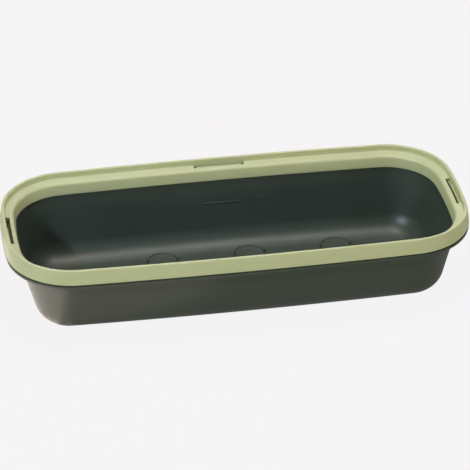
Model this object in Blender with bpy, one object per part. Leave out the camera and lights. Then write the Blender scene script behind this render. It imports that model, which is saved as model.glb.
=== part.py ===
"""Seed tray: a dark trough, a pale frame that lies on its flange and six round drain plugs."""
import math

import bmesh
import bpy
from mathutils import Vector

# Frame in plan, at the lower edge of its skirt. All lengths in metres.
LENGTH = 0.5000
DEPTH = 0.2158
CORNER_RADIUS = 0.0724
END_BOW = 0.0095
SIDE_BOW = 0.00585

# Gaps between pieces that touch
SEAT_GAP = 0.0003
NEST_GAP = 0.0003
PLUG_GAP = 0.0003

# Frame cross-section: heights count from the lower edge of the skirt
LIP_HEIGHT = 0.0163
LIP_WIDTH = 0.0032
LIP_ROUND = 0.0011
SKIRT_DRAFT = 0.0023
LEDGE_DROP = 0.0060
LEDGE_FALL = 0.0022
SHOULDER_RADIUS = 0.0037
FRAME_WIDTH = 0.0165
INNER_DRAFT = 0.0007
INNER_REACH = 0.0046
FRAME_WALL = 0.0019

# Slots in the ledge and the ribs under them
SLOT_LENGTH = 0.0560
SLOT_WIDTH = 0.0046
SLOT_INSET = 0.0058
RIB_SHOWN = 0.0016
RIB_TOP = 0.0072
RIB_DEPTH = 0.0036
RIB_END_GAP = 0.0030
LEFT_RIB_BACK_GAP = 0.0186
RIGHT_RIB_BACK_GAP = 0.0070

# Trough: heights count from the table
SKIRT_ABOVE_BASE = 0.0791
BASE_LENGTH = 0.4490
BASE_DEPTH = 0.1644
BASE_CORNER = 0.0377
BASE_FILLET = 0.0286
WALL = 0.0022
FLANGE_THICKNESS = 0.0020
FLANGE_INSET = 0.0002
EDGE_HEIGHT = 0.0032
EDGE_WALL = 0.0020
SHADOW_STEP_DEPTH = 0.0011
SHADOW_STEP_WIDTH = 0.0012
MOUTH_ROUND = 0.0009

# Raised fill line on the back wall
MARK_HEIGHT = 0.0479
MARK_RAISE = 0.0005
LINE_LENGTH = 0.0420
LINE_WIDTH = 0.0020
ARROW_SIZE = 0.0070
ARROW_X = 0.0365
DASH_LENGTH = 0.0090
DASH_X = 0.0485
DASH_RISE = 0.0030

# Drains: two rows, shifted by half a step against each other
DRAIN_STEP = 0.0971
DRAIN_SHIFT = 0.0010
DRAIN_ROW_Y = 0.0449
SEAT_RADIUS = 0.0180
SEAT_RISE = 0.0023
HEAD_RADIUS = 0.0158
HEAD_THICKNESS = 0.0019
HOLE_RADIUS = 0.0103
STEM_INNER_RADIUS = 0.0078
STEM_ABOVE_BASE = 0.0006
NOTCH_WIDTH = 0.0018
NOTCH_LENGTH = 0.0050
NOTCH_DEPTH = 0.0017

# Smoothness of curves
END_STEPS = 3
CORNER_STEPS = 12
SIDE_STEPS = 4
ROUND_STEPS = 36
FILLET_STEPS = 9
SHARP_ANGLE = math.radians(32)


class Outline:
    """Rounded rectangle whose sides bow outward, made of arcs that meet smoothly."""

    def __init__(self, length, depth, corner, end_bow, side_bow):
        half_length, half_depth = length / 2, depth / 2
        self.corner = corner
        self.side_radius = (half_length ** 2 + side_bow ** 2) / (2 * side_bow)
        self.end_radius = (half_depth ** 2 + end_bow ** 2) / (2 * end_bow)
        self.side_centre = Vector((0, half_depth - self.side_radius))
        self.end_centre = Vector((half_length - self.end_radius, 0))
        self.corner_centre = self._meet()
        self.side_angle = self._angle(self.side_centre)
        self.end_angle = self._angle(self.end_centre)

    def _meet(self):
        """Centre of the corner arc: it touches the side arc and the end arc from inside."""
        from_side = self.side_radius - self.corner
        from_end = self.end_radius - self.corner
        across = self.end_centre - self.side_centre
        span = across.length
        along = (from_side ** 2 - from_end ** 2 + span ** 2) / (2 * span)
        rise = math.sqrt(from_side ** 2 - along ** 2)
        unit = across / span
        normal = Vector((-unit.y, unit.x))
        first = self.side_centre + along * unit + rise * normal
        second = self.side_centre + along * unit - rise * normal
        return first if first.y > second.y else second

    def _angle(self, centre):
        spoke = self.corner_centre - centre
        return math.atan2(spoke.y, spoke.x)

    def quarter(self, inset):
        """Points from the middle of the right end to just before the middle of the back side."""
        arcs = (
            (self.end_centre, self.end_radius, 0, self.end_angle, END_STEPS),
            (self.corner_centre, self.corner, self.end_angle, self.side_angle, CORNER_STEPS),
            (self.side_centre, self.side_radius, self.side_angle, math.pi / 2, SIDE_STEPS),
        )
        points = []
        for centre, radius, first, last, steps in arcs:
            for step in range(steps):
                angle = first + (last - first) * step / steps
                spoke = Vector((math.cos(angle), math.sin(angle)))
                points.append(centre + (radius - inset) * spoke)
        return points

    def loop(self, inset=0.0):
        """Whole closed loop, counter-clockwise, moved inward by the inset."""
        first = self.quarter(inset)
        top = self.side_centre + (self.side_radius - inset) * Vector((0, 1))
        second = [Vector((-p.x, p.y)) for p in reversed(first[1:])]
        half = first + [top] + second
        return half + [-p for p in half]


def frame_outline():
    return Outline(LENGTH, DEPTH, CORNER_RADIUS, END_BOW, SIDE_BOW)


def base_outline():
    return Outline(BASE_LENGTH, BASE_DEPTH, BASE_CORNER, END_BOW * 0.8, SIDE_BOW * 0.8)


def arc(centre, radius, first, last, steps):
    """Points of an arc in a cross-section, as (inset, height) pairs; angles in degrees."""
    points = []
    for step in range(steps + 1):
        angle = math.radians(first + (last - first) * step / steps)
        points.append((centre[0] + radius * math.cos(angle), centre[1] + radius * math.sin(angle)))
    return points


def add_loop(shape, points, height):
    return [shape.verts.new((p.x, p.y, height)) for p in points]


def bridge(shape, lower, upper):
    count = len(lower)
    for i in range(count):
        j = (i + 1) % count
        shape.faces.new((lower[i], lower[j], upper[j], upper[i]))


def finish_mesh(name, shape, material):
    """Turn a shape under construction into an object with faces that look outward."""
    bmesh.ops.recalc_face_normals(shape, faces=shape.faces)
    mesh = bpy.data.meshes.new(name)
    shape.to_mesh(mesh)
    shape.free()
    made = bpy.data.objects.new(name, mesh)
    bpy.context.scene.collection.objects.link(made)
    if material:
        mesh.materials.append(material)
    return made


def apply_tools(made, tools, operation):
    """Join or cut with closed tool shapes, keep the result and remove the tools."""
    for tool in tools:
        change = made.modifiers.new(tool.name, "BOOLEAN")
        change.operation = operation
        change.solver = "EXACT"
        change.object = tool
    bpy.context.view_layer.update()
    result = bpy.data.meshes.new_from_object(made.evaluated_get(bpy.context.evaluated_depsgraph_get()))
    old = made.data
    made.modifiers.clear()
    made.data = result
    bpy.data.meshes.remove(old)
    for tool in tools:
        bpy.data.objects.remove(tool)


def smooth(made):
    made.data.shade_smooth()
    made.data.set_sharp_from_angle(angle=SHARP_ANGLE)


def block(name, low, high):
    """Plain box between two corners."""
    shape = bmesh.new()
    bmesh.ops.create_cube(shape, size=1.0)
    for vert in shape.verts:
        vert.co = Vector([low[k] if vert.co[k] < 0 else high[k] for k in range(3)])
    return finish_mesh(name, shape, None)


def drum(name, centre, radius, low, high):
    """Upright round tool."""
    shape = bmesh.new()
    loops = []
    for height in (low, high):
        spokes = [2 * math.pi * i / ROUND_STEPS for i in range(ROUND_STEPS)]
        points = [Vector((centre[0] + radius * math.cos(a), centre[1] + radius * math.sin(a))) for a in spokes]
        loops.append(add_loop(shape, points, height))
    bridge(shape, loops[0], loops[1])
    shape.faces.new(loops[0])
    shape.faces.new(loops[1])
    return finish_mesh(name, shape, None)


def side_block(name, side, first, last, inset, width, low, high):
    """Bar that follows one side of the frame, between two distances from the middle of that side."""
    outline = frame_outline()
    on_end = side in ("left", "right")
    centre = outline.end_centre if on_end else outline.side_centre
    radius = outline.end_radius if on_end else outline.side_radius
    mirror = -1 if side in ("left", "front") else 1
    shape = bmesh.new()
    sections = []
    for step in range(7):
        along = first + (last - first) * step / 6
        angle = along / radius
        section = []
        for reach, height in ((inset, low), (inset + width, low), (inset + width, high), (inset, high)):
            out, cross = (radius - reach) * math.cos(angle), (radius - reach) * math.sin(angle)
            point = (mirror * (centre.x + out), cross) if on_end else (cross, mirror * (centre.y + out))
            section.append(shape.verts.new((*point, height)))
        sections.append(section)
    for near, far in zip(sections, sections[1:]):
        bridge(shape, near, far)
    shape.faces.new(sections[0])
    shape.faces.new(sections[-1])
    return finish_mesh(name, shape, None)


def ledge_slope():
    """How far the ledge falls for each unit inward."""
    return LEDGE_FALL / (FRAME_WIDTH - SHOULDER_RADIUS - SKIRT_DRAFT - LIP_WIDTH)


def frame_top():
    """Upper side of the frame's cross-section, from the skirt's foot to the foot of the inner wall."""
    round_height = LIP_HEIGHT - LIP_ROUND
    tilt = math.degrees(math.atan(SKIRT_DRAFT / LIP_HEIGHT))
    outer = (SKIRT_DRAFT + LIP_ROUND, round_height)
    inner = (SKIRT_DRAFT + LIP_WIDTH - LIP_ROUND, round_height)
    crease = (SKIRT_DRAFT + LIP_WIDTH, LIP_HEIGHT - LEDGE_DROP)
    shoulder = (FRAME_WIDTH - SHOULDER_RADIUS, crease[1] - LEDGE_FALL - SHOULDER_RADIUS)
    lean = math.degrees(math.atan(ledge_slope()))
    points = [(0.0, 0.0)]
    points += arc(outer, LIP_ROUND, 180 - tilt, 90, 4)
    points += arc(inner, LIP_ROUND, 90, 0, 4)
    points += [(crease[0], crease[1] + 0.0008), (crease[0] + 0.0008, crease[1])]
    points += arc(shoulder, SHOULDER_RADIUS, 90 - lean, 0, 6)
    points.append((FRAME_WIDTH + INNER_DRAFT, -INNER_REACH))
    return points, shoulder, lean


def frame_section():
    """Closed cross-section of the frame: skirt, lip, ledge, shoulder and inner wall over a hollow."""
    points, shoulder, lean = frame_top()
    points.append((FRAME_WIDTH + INNER_DRAFT - FRAME_WALL, -INNER_REACH))
    under = arc(shoulder, SHOULDER_RADIUS - FRAME_WALL, 0, 90 - lean, 3)
    points += under
    skirt_inside = 2 * SKIRT_DRAFT / 3 + FRAME_WALL
    rise = ledge_slope() * (under[-1][0] - skirt_inside)
    corner_height = under[-1][1] + rise
    points.append((SKIRT_DRAFT * corner_height / LIP_HEIGHT + FRAME_WALL, corner_height))
    points.append((FRAME_WALL, 0.0))
    return points


def slot_tools():
    """Four cutters, one in the middle of each side of the ledge."""
    half = SLOT_LENGTH / 2
    low = SKIRT_ABOVE_BASE + RIB_TOP - 0.002
    high = SKIRT_ABOVE_BASE + LIP_HEIGHT + 0.01
    return [side_block(f"slot_{side}", side, -half, half, SLOT_INSET, SLOT_WIDTH, low, high)
            for side in ("left", "right", "back", "front")]


def rib_tools():
    """Ribs on the inside of the skirt; they show at the outer edge of each slot."""
    half = SLOT_LENGTH / 2
    spans = {
        "left": (-half, half - LEFT_RIB_BACK_GAP),
        "right": (-half, half - RIGHT_RIB_BACK_GAP),
        "back": (RIB_END_GAP - half, half - RIB_END_GAP),
        "front": (RIB_END_GAP - half, half - RIB_END_GAP),
    }
    inset = FRAME_WALL
    width = SLOT_INSET + RIB_SHOWN - inset
    high = SKIRT_ABOVE_BASE + RIB_TOP
    return [side_block(f"rib_{side}", side, first, last, inset, width, high - RIB_DEPTH, high)
            for side, (first, last) in spans.items()]


def build_frame(material):
    """The frame is swept round the outline, then cut by the slots and given its ribs."""
    outline = frame_outline()
    shape = bmesh.new()
    loops = [add_loop(shape, outline.loop(inset), SKIRT_ABOVE_BASE + height) for inset, height in frame_section()]
    for lower, upper in zip(loops, loops[1:] + loops[:1]):
        bridge(shape, lower, upper)
    made = finish_mesh("rim_frame", shape, material)
    apply_tools(made, slot_tools(), "DIFFERENCE")
    apply_tools(made, rib_tools(), "UNION")
    smooth(made)
    move_origin(made, Vector((0, 0, SKIRT_ABOVE_BASE)))
    return made


def move_origin(made, place):
    made.data.transform(made.matrix_world.Translation(-place))
    made.location = place


def nest_inset():
    """Inset of the trough's inner face where the foot of the frame's inner wall hangs beside it."""
    return FRAME_WIDTH + INNER_DRAFT - FRAME_WALL - NEST_GAP


def wall_lean(thickness):
    """How far below level the base fillet begins, in degrees, so that the straight wall meets it smoothly."""
    drop = SKIRT_ABOVE_BASE - INNER_REACH - BASE_FILLET
    reach = (LENGTH - BASE_LENGTH) / 2 - (nest_inset() - WALL) + BASE_FILLET - thickness
    radius = BASE_FILLET - thickness
    return math.degrees(math.acos(radius / math.hypot(drop, reach)) - math.atan2(drop, reach))


def flange_section():
    """Rolled edge and flange from the outer wall over to the mouth, as insets and heights."""
    top = SKIRT_ABOVE_BASE - SEAT_GAP
    step = top - SHADOW_STEP_DEPTH
    foot = step - EDGE_HEIGHT
    inside = nest_inset()
    out = FLANGE_INSET
    return [
        (inside - WALL, SKIRT_ABOVE_BASE - INNER_REACH),
        (inside - WALL - 0.0006, top - FLANGE_THICKNESS),
        (out + EDGE_WALL, top - FLANGE_THICKNESS),
        (out + EDGE_WALL, foot),
        (out, foot),
        (out, step - 0.0004),
        (out + 0.0004, step),
        (out + SHADOW_STEP_WIDTH, step),
        (out + SHADOW_STEP_WIDTH, top),
        (inside - 0.0008 - MOUTH_ROUND, top),
        (inside - 0.0008 - MOUTH_ROUND * 0.3, top - MOUTH_ROUND * 0.3),
        (inside - 0.0008, top - MOUTH_ROUND),
        (inside, SKIRT_ABOVE_BASE - INNER_REACH),
    ]


def fillet_loops(shape, thickness, from_top):
    """Loops of the rounded foot of the wall; the inner face shares the centre of the outer one."""
    outline = base_outline()
    lean = wall_lean(thickness)
    radius = BASE_FILLET - thickness
    loops = []
    for step in range(FILLET_STEPS + 1):
        angle = math.radians(lean + (90 - lean) * step / FILLET_STEPS)
        inset = BASE_FILLET - radius * math.cos(angle)
        loops.append(add_loop(shape, outline.loop(inset), BASE_FILLET - radius * math.sin(angle)))
    return loops if from_top else loops[::-1]


def build_trough(material):
    """Outer floor, outer wall, flange, inner wall and inner floor in one closed skin."""
    top_outline = frame_outline()
    shape = bmesh.new()
    loops = fillet_loops(shape, 0.0, False)
    loops += [add_loop(shape, top_outline.loop(inset), height) for inset, height in flange_section()]
    loops += fillet_loops(shape, WALL, True)
    for lower, upper in zip(loops, loops[1:]):
        bridge(shape, lower, upper)
    shape.faces.new(loops[0])
    shape.faces.new(loops[-1])
    made = finish_mesh("tray_body", shape, material)
    apply_tools(made, seat_tools(), "UNION")
    apply_tools(made, mark_tools(), "UNION")
    apply_tools(made, drain_cutters(), "DIFFERENCE")
    smooth(made)
    return made


def drain_places():
    """Names and centres of the drains: back row and front row mirror each other through the middle."""
    places = {}
    for index, word in enumerate(("left", "middle", "right")):
        across = (index - 0.75) * DRAIN_STEP + DRAIN_SHIFT
        places[f"back_{word}"] = (across, DRAIN_ROW_Y)
    for index, word in enumerate(("left", "middle", "right")):
        across = (index - 1.25) * DRAIN_STEP + DRAIN_SHIFT
        places[f"front_{word}"] = (across, -DRAIN_ROW_Y)
    return places


def seat_top():
    return WALL + SEAT_RISE


def seat_foot():
    """Height where a seat starts inside the floor: it must not show below the rounded foot of the wall."""
    over_fillet = max(0.0, DRAIN_ROW_Y + SEAT_RADIUS - (BASE_DEPTH / 2 - BASE_FILLET))
    rise = BASE_FILLET - math.sqrt(max(0.0, BASE_FILLET ** 2 - over_fillet ** 2))
    return min(max(WALL * 0.5, rise + WALL * 0.2), WALL * 0.95)


def seat_tools():
    """Raised round seats on the floor."""
    return [drum(f"seat_{word}", place, SEAT_RADIUS, seat_foot(), seat_top())
            for word, place in drain_places().items()]


def drain_cutters():
    """Through holes, recesses for the heads and the two small side notches of each drain."""
    tools = []
    recess_floor = seat_top() - HEAD_THICKNESS - PLUG_GAP
    recess_radius = HEAD_RADIUS + PLUG_GAP
    for word, (x, y) in drain_places().items():
        tools.append(drum(f"hole_{word}", (x, y), HOLE_RADIUS, -0.01, 0.02))
        tools.append(drum(f"recess_{word}", (x, y), recess_radius, recess_floor, 0.02))
        for turn in (-1, 1):
            middle = x + turn * (recess_radius + NOTCH_WIDTH / 2 - 0.0005)
            low = (middle - NOTCH_WIDTH / 2, y - NOTCH_LENGTH / 2, seat_top() - NOTCH_DEPTH)
            high = (middle + NOTCH_WIDTH / 2, y + NOTCH_LENGTH / 2, 0.02)
            tools.append(block(f"notch_{word}_{turn}", low, high))
    return tools


def back_wall_place(height):
    """Depth of the back wall's inner face at a height, and the lean of that face."""
    radius = BASE_FILLET - WALL
    lean = math.radians(wall_lean(WALL))
    foot = (BASE_DEPTH / 2 - BASE_FILLET + radius * math.cos(lean), BASE_FILLET - radius * math.sin(lean))
    mouth = (DEPTH / 2 - nest_inset(), SKIRT_ABOVE_BASE - INNER_REACH)
    share = (height - foot[1]) / (mouth[1] - foot[1])
    tilt = math.atan2(mouth[0] - foot[0], mouth[1] - foot[1])
    return foot[0] + share * (mouth[0] - foot[0]), tilt


def wall_plate(name, corners, centre_height):
    """Thin raised shape on the back wall from (across, up) corners, sunk a little into the wall."""
    depth, tilt = back_wall_place(centre_height)
    shape = bmesh.new()
    loops = []
    for out in (-MARK_RAISE, WALL * 0.5):
        loop = []
        for across, up in corners:
            y = depth + up * math.sin(tilt) + out * math.cos(tilt)
            z = centre_height + up * math.cos(tilt) - out * math.sin(tilt)
            loop.append(shape.verts.new((across, y, z)))
        loops.append(loop)
    bridge(shape, loops[0], loops[1])
    shape.faces.new(loops[0])
    shape.faces.new(loops[1])
    return finish_mesh(name, shape, None)


def bar_corners(middle, rise, length, width):
    return [
        (middle - length / 2, rise - width / 2),
        (middle + length / 2, rise - width / 2),
        (middle + length / 2, rise + width / 2),
        (middle - length / 2, rise + width / 2),
    ]


def mark_tools():
    """Fill line, plain arrow head beside it and a short dash."""
    half = ARROW_SIZE / 2
    arrow = [(ARROW_X, -half), (ARROW_X + half, half), (ARROW_X - half, half)]
    return [
        wall_plate("fill_line", bar_corners(0, 0, LINE_LENGTH, LINE_WIDTH), MARK_HEIGHT),
        wall_plate("fill_arrow", arrow, MARK_HEIGHT),
        wall_plate("fill_dash", bar_corners(DASH_X, DASH_RISE, DASH_LENGTH, LINE_WIDTH), MARK_HEIGHT),
    ]


def plug_section():
    """Half cross-section of a plug, as (radius, height) from its top middle to its hollow underside."""
    top = seat_top() - 0.0001
    under = top - HEAD_THICKNESS + 0.0001
    stem = HOLE_RADIUS - PLUG_GAP
    return [
        (HEAD_RADIUS * 0.30, top - 0.0007),
        (HEAD_RADIUS * 0.34, top - 0.0001),
        (HEAD_RADIUS * 0.42, top - 0.0001),
        (HEAD_RADIUS * 0.47, top - 0.0007),
        (HEAD_RADIUS * 0.60, top - 0.0007),
        (HEAD_RADIUS * 0.65, top - 0.0001),
        (HEAD_RADIUS * 0.72, top - 0.0001),
        (HEAD_RADIUS * 0.77, top - 0.0007),
        (HEAD_RADIUS * 0.86, top - 0.0007),
        (HEAD_RADIUS * 0.90, top),
        (HEAD_RADIUS - 0.0004, top),
        (HEAD_RADIUS, top - 0.0004),
        (HEAD_RADIUS, under),
        (stem, under),
        (stem, STEM_ABOVE_BASE + 0.0005),
        (stem - 0.0005, STEM_ABOVE_BASE),
        (STEM_INNER_RADIUS, STEM_ABOVE_BASE),
        (STEM_INNER_RADIUS, under + 0.0002),
    ]


def build_plug(word, place, material):
    """Round press-in plug with ringed head and short hollow stem."""
    shape = bmesh.new()
    loops = []
    for radius, height in plug_section():
        spokes = [2 * math.pi * i / ROUND_STEPS for i in range(ROUND_STEPS)]
        points = [Vector((radius * math.cos(a), radius * math.sin(a))) for a in spokes]
        loops.append(add_loop(shape, points, height))
    for lower, upper in zip(loops, loops[1:]):
        bridge(shape, lower, upper)
    shape.faces.new(loops[0])
    shape.faces.new(loops[-1])
    made = finish_mesh(f"drain_plug_{word}", shape, material)
    made.location = (place[0], place[1], 0)
    smooth(made)
    return made


def linear(channel):
    return channel / 12.92 if channel <= 0.04045 else ((channel + 0.055) / 1.055) ** 2.4


def plastic(name, colour, roughness):
    """Plain moulded plastic; the colour is given as eight-bit red, green and blue."""
    material = bpy.data.materials.new(name)
    material.use_nodes = True
    shader = material.node_tree.nodes["Principled BSDF"]
    shader.inputs["Base Color"].default_value = (*[linear(c / 255) for c in colour], 1)
    shader.inputs["Roughness"].default_value = roughness
    shader.inputs["Metallic"].default_value = 0.0
    return material


def clear_scene():
    for old in list(bpy.data.objects):
        bpy.data.objects.remove(old)


def main():
    clear_scene()
    build_trough(plastic("tray_polypropylene", (66, 68, 58), 0.42))
    build_frame(plastic("frame_polypropylene", (184, 190, 146), 0.45))
    for word, place in drain_places().items():
        build_plug(word, place, plastic(f"plug_polypropylene_{word}", (62, 65, 56), 0.45))


main()
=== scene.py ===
"""Looks of a seed tray: dark trough, pale frame on its flange, six drain plugs, camera, floor and soft lights."""
import logging
import math
from dataclasses import dataclass, field
from enum import Enum
from typing import Any, Callable, Iterable

import bmesh
import bpy
from mathutils import Matrix, Vector


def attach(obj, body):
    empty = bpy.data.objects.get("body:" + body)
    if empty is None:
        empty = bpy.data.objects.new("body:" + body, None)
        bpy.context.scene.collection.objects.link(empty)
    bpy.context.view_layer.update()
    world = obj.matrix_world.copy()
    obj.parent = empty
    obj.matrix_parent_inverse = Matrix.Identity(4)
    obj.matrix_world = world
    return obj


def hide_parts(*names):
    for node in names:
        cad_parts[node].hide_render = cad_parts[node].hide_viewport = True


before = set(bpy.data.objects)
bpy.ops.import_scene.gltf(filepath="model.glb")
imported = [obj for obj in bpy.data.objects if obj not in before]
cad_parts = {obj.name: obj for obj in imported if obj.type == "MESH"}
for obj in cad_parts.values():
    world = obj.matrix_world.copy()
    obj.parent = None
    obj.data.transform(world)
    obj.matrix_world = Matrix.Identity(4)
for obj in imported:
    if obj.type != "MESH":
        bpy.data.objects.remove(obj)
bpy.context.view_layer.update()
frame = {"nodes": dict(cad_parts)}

log = logging.getLogger("seed_tray")

MM = 0.001
ROUND_STEPS = 96
BAR_STEPS = 8
# Insets or radii with their heights, or places across and up on a wall
Profile = list[tuple[float, float]]
# The number of an arc and a share of that arc
Station = tuple[int, float]
# Points in plan and their height
Row = tuple[list[Vector], float]


class Side(Enum):
    """A side of the tray as seen from above, in the photograph's view."""

    LEFT = "left"
    RIGHT = "right"
    BACK = "back"
    FRONT = "front"

    @property
    def on_end(self) -> bool:
        """True for the two short sides."""
        return self in (Side.LEFT, Side.RIGHT)

    @property
    def sign(self) -> int:
        """Which way the side lies from the middle."""
        return -1 if self in (Side.LEFT, Side.FRONT) else 1


class SlotEdge(Enum):
    """An edge of a slot in the frame's ledge."""

    INNER = "inner"
    OUTER = "outer"
    FAR_END = "end"


class Cut(Enum):
    """What a closed tool does to the piece that it meets."""

    ADD = "UNION"
    REMOVE = "DIFFERENCE"


# ---------------------------------------------------------------- colours and materials


def linear_colour(code: str) -> tuple[float, float, float, float]:
    """Turn an sRGB hex code into linear colour.

    Args:
        code: Six hex digits, with or without a leading hash.

    Returns:
        Linear red, green and blue, and an alpha of one.
    """
    digits = code.lstrip("#")
    channels = [int(digits[k:k + 2], 16) / 255 for k in (0, 2, 4)]
    line = [c / 12.92 if c <= 0.04045 else ((c + 0.055) / 1.055) ** 2.4 for c in channels]
    return line[0], line[1], line[2], 1.0


def add_node(tree: bpy.types.NodeTree, kind: str, inputs: dict[Any, Any] | None = None,
             **settings: Any) -> bpy.types.Node:
    """Add one node with its settings and links.

    Args:
        tree: The tree that gets the node.
        kind: Blender's name of the node type.
        inputs: Input socket by name or number, with either a value or the output socket to link from.
        **settings: Attributes of the node itself.

    Returns:
        The new node.
    """
    node = tree.nodes.new(kind)
    for name, value in settings.items():
        setattr(node, name, value)
    for socket, value in (inputs or {}).items():
        if isinstance(value, bpy.types.NodeSocket):
            tree.links.new(value, node.inputs[socket])
        else:
            node.inputs[socket].default_value = value
    return node


def start_material(name: str) -> tuple[bpy.types.Material, bpy.types.NodeTree, bpy.types.NodeSocket]:
    """Make a material that holds nothing but its coordinates.

    Args:
        name: Name of the material.

    Returns:
        The material, its tree, and the socket that gives the piece's own coordinates in metres.
    """
    material = bpy.data.materials.new(name)
    material.use_nodes = True
    tree = material.node_tree
    tree.nodes.clear()
    return material, tree, add_node(tree, "ShaderNodeTexCoord").outputs["Object"]


@dataclass(frozen=True)
class MouldedPolypropylene:
    """Injection-moulded polypropylene with a fine spark-eroded skin.

    The eye sees a satin surface: highlights are wide and soft, the colour drifts a little with the flow of
    the melt, and a fine grain breaks up the gloss. Lengths are in millimetres.
    """

    name: str
    shade: str
    light: str
    roughness: float
    roughness_drift: float = 0.03
    drift_mm: float = 55.0
    flow_mm: float = 9.0
    flow_stretch: float = 5.0
    grain_mm: float = 1.1
    grain_height_mm: float = 0.012
    speck_mm: float = 0.45
    speck_share: float = 0.35
    ior: float = 1.49
    gloss_level: float = 0.5
    glow_share: float = 0.0
    glow_depth_mm: float = 2.0

    def build(self) -> bpy.types.Material:
        """Make the material.

        Returns:
            A node material whose patterns follow the piece's own coordinates in metres.
        """
        material, tree, place = start_material(self.name)
        # Slow drift of the pigment along the melt's way, a few centimetres wide
        drift = add_node(tree, "ShaderNodeTexNoise", {
            "Vector": place, "Scale": 1 / (self.drift_mm * MM), "Detail": 2.0, "Roughness": 0.45})
        # Faint streaks of flow, drawn out along the length: about a centimetre wide and five times as long
        stretched = add_node(tree, "ShaderNodeMapping", {
            "Vector": place, "Scale": (1 / self.flow_stretch, 1.0, 1.0)})
        flow = add_node(tree, "ShaderNodeTexNoise", {
            "Vector": stretched.outputs["Vector"], "Scale": 1 / (self.flow_mm * MM), "Detail": 3.0, "Roughness": 0.5})
        # Skin left by the eroded mould: the real pits are 0.1 mm wide, drawn near 1 mm so that they show
        grain = add_node(tree, "ShaderNodeTexNoise", {
            "Vector": place, "Scale": 1 / (self.grain_mm * MM), "Detail": 3.0, "Roughness": 0.6})
        speck = add_node(tree, "ShaderNodeTexVoronoi", {
            "Vector": place, "Scale": 1 / (self.speck_mm * MM), "Randomness": 1.0})

        blend: Any = 0.0
        for pattern, part in ((drift, 0.65), (flow, 0.25), (grain, 0.10)):
            blend = add_node(tree, "ShaderNodeMath", {0: pattern.outputs["Fac"], 1: part, 2: blend},
                             operation="MULTIPLY_ADD").outputs[0]
        share = add_node(tree, "ShaderNodeMapRange", {"Value": blend, "From Min": 0.36, "From Max": 0.64})
        colour = add_node(tree, "ShaderNodeMix", {
            0: share.outputs["Result"], 6: linear_colour(self.shade), 7: linear_colour(self.light)}, data_type="RGBA")
        gloss = add_node(tree, "ShaderNodeMapRange", {
            "Value": flow.outputs["Fac"], "From Min": 0.3, "From Max": 0.7,
            "To Min": self.roughness - self.roughness_drift, "To Max": self.roughness + self.roughness_drift})
        relief = add_node(tree, "ShaderNodeMath", {
            0: speck.outputs["Distance"], 1: self.speck_share, 2: grain.outputs["Fac"]}, operation="MULTIPLY_ADD")
        bump = add_node(tree, "ShaderNodeBump", {
            "Strength": 1.0, "Distance": self.grain_height_mm * MM, "Height": relief.outputs[0]})
        shader = add_node(tree, "ShaderNodeBsdfPrincipled", {
            "Base Color": colour.outputs[2], "Roughness": gloss.outputs["Result"], "IOR": self.ior,
            "Specular IOR Level": self.gloss_level, "Metallic": 0.0, "Subsurface Weight": self.glow_share,
            "Subsurface Radius": (1.0, 0.9, 0.7), "Subsurface Scale": self.glow_depth_mm * MM,
            "Normal": bump.outputs["Normal"]})
        add_node(tree, "ShaderNodeOutputMaterial", {"Surface": shader.outputs["BSDF"]})
        return material


@dataclass(frozen=True)
class OpalFloor:
    """Opal acrylic sheet, sanded matt and lit from below.

    The eye sees one even pale tone: the sheet's own light fills the shadows and reaches the tray from below.
    """

    name: str = "opal_acrylic_light_table"
    tone: str = "#f5f3f4"
    glow: float = 0.98
    matt_share: float = 0.03
    sanding_mm: float = 2.0
    sanding_height_mm: float = 0.01

    def build(self) -> bpy.types.Material:
        """Make the material.

        Returns:
            A mixture of a matt surface and even light.
        """
        material, tree, place = start_material(self.name)
        tone = linear_colour(self.tone)
        # Sanding marks: too fine to show, drawn 2 mm wide and almost without height
        sanded = add_node(tree, "ShaderNodeTexNoise", {
            "Vector": place, "Scale": 1 / (self.sanding_mm * MM), "Detail": 2.0})
        bump = add_node(tree, "ShaderNodeBump", {
            "Strength": 0.2, "Distance": self.sanding_height_mm * MM, "Height": sanded.outputs["Fac"]})
        matt = add_node(tree, "ShaderNodeBsdfDiffuse", {"Color": tone, "Normal": bump.outputs["Normal"]})
        light = add_node(tree, "ShaderNodeEmission", {"Color": tone, "Strength": self.glow / (1 - self.matt_share)})
        mixed = add_node(tree, "ShaderNodeMixShader", {
            0: self.matt_share, 1: light.outputs[0], 2: matt.outputs[0]})
        add_node(tree, "ShaderNodeOutputMaterial", {"Surface": mixed.outputs[0]})
        return material


# ---------------------------------------------------------------- shapes


@dataclass(frozen=True)
class Arc:
    """Part of the plan outline of one quarter of the tray; angles in radians."""

    centre: Vector
    radius: float
    first: float
    last: float

    def point(self, share: float, inset: float) -> Vector:
        """Point in plan at a share of the arc, from nought to one, moved inward by the inset."""
        angle = self.first + (self.last - self.first) * share
        return self.centre + (self.radius - inset) * Vector((math.cos(angle), math.sin(angle)))


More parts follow.
